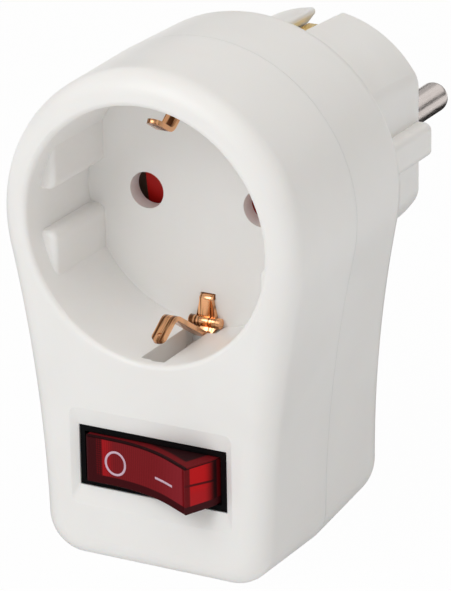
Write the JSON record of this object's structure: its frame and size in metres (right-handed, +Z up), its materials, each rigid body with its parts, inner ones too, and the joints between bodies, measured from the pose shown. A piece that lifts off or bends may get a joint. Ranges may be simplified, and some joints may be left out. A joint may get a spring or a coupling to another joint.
{
  "type": "switched adapter plug",
  "caption": "White mains adapter with an earthed socket recess, sprung earth clips, a red lit rocker switch below it and a round earthed plug with two pins behind it.",
  "frame": {"origin": "centre of the plug's seating face, midway between its two pins", "axes": "+Y runs along the pins into the wall socket, +X is to the right seen from the front, +Z is up"},
  "size_m": [0.0494, 0.0825, 0.0776],
  "materials": {
    "shell": "white moulded plastic, satin",
    "carrier": "dark brown heat-resistant moulding",
    "shutter": "red moulded plastic",
    "copper": "bright copper-coloured spring strip",
    "brass": "bright stamped brass strip",
    "nickel": "nickel-plated, polished",
    "steel": "zinc-plated steel",
    "black_plastic": "black moulded plastic, satin",
    "rocker_red": "translucent red moulded plastic",
    "lamp_glass": "clear lamp glass",
    "resistor": "lacquered ceramic"
  },
  "bodies": {
    "housing": {"front_shell": "shell", "rear_shell": "shell", "plug_body": "shell", "contact_carrier": "carrier", "shutter_spring": "steel", "live_contact": "brass", "neutral_contact": "brass", "socket_earth_bracket": "copper", "plug_earth_bracket": "brass", "earth_rivet": "brass", "live_pin": "nickel", "neutral_pin": "nickel", "live_bar": "brass", "lamp_bar": "brass", "switch_body": "black_plastic", "common_terminal": "brass", "load_terminal": "brass", "lamp_terminal": "brass", "housing_screws": "steel", "carrier_screws": "steel"},
    "shutter": {"shutter_rotor": "shutter"},
    "switch_rocker": {"rocker": "rocker_red", "plunger": "black_plastic", "plunger_spring": "steel", "neon_lamp": "lamp_glass", "lamp_resistor": "resistor"},
    "switch_lever": {"contact_lever": "brass"}
  },
  "joints": [
    {"name": "shutter_turn", "type": "hinge", "parent": "housing", "child": "shutter", "pos_m": [0, -0.036, 0], "axis": [0, 1, 0], "range_deg": [0, 36], "stiffness_Nm_per_rad": 0.0005, "springref_deg": -22.92, "deforming": ["shutter_spring"]},
    {"name": "rocker_tilt", "type": "hinge", "parent": "housing", "child": "switch_rocker", "pos_m": [0.0004, -0.056, -0.036], "axis": [0, 0, 1], "range_deg": [0, 28]},
    {"name": "lever_tilt", "type": "hinge", "parent": "housing", "child": "switch_lever", "pos_m": [0.0004, -0.0473, -0.036], "axis": [0, 0, 1], "range_deg": [-12, 0]}
  ],
  "couplings": [
    {"joint": "lever_tilt", "follows": "rocker_tilt", "ratio": -0.42857}
  ]
}
